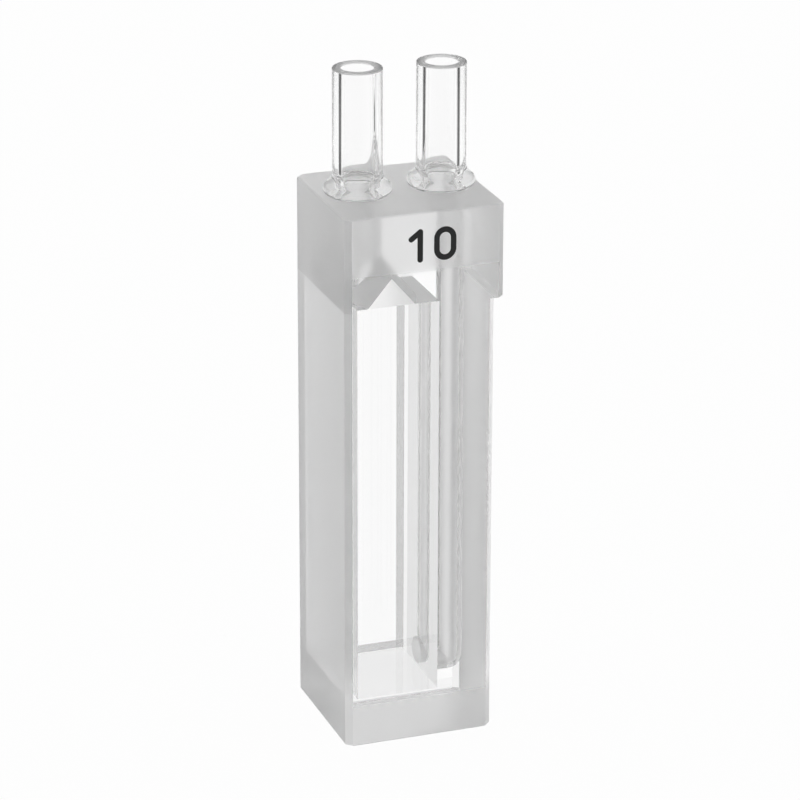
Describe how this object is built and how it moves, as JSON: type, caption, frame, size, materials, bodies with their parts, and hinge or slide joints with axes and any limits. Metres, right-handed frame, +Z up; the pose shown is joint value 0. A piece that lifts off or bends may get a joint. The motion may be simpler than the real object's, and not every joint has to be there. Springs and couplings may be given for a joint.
{
  "type": "flow-through cell",
  "caption": "Square quartz flow-through cell: polished windows round a sample chamber, an inlet channel drilled down one wall, and glass hose tubes on the head block.",
  "frame": {"origin": "middle of the bottom face of the square cell body", "axes": "+Z up along the cell, -Y out of the front window, +X towards the wall with the inlet channel"},
  "size_m": [0.0133, 0.0126, 0.0553],
  "materials": {
    "polished_quartz": "clear, optically polished",
    "frosted_quartz": "finely ground, matt outside and polished inside",
    "tube_glass": "clear, fire polished"
  },
  "bodies": {
    "root": {"front_window": "polished_quartz", "rear_window": "polished_quartz", "left_wall": "frosted_quartz", "channel_wall": "frosted_quartz", "base_block": "frosted_quartz", "head_block": "frosted_quartz", "inlet_tube": "tube_glass", "outlet_tube": "tube_glass"}
  },
  "joints": []
}
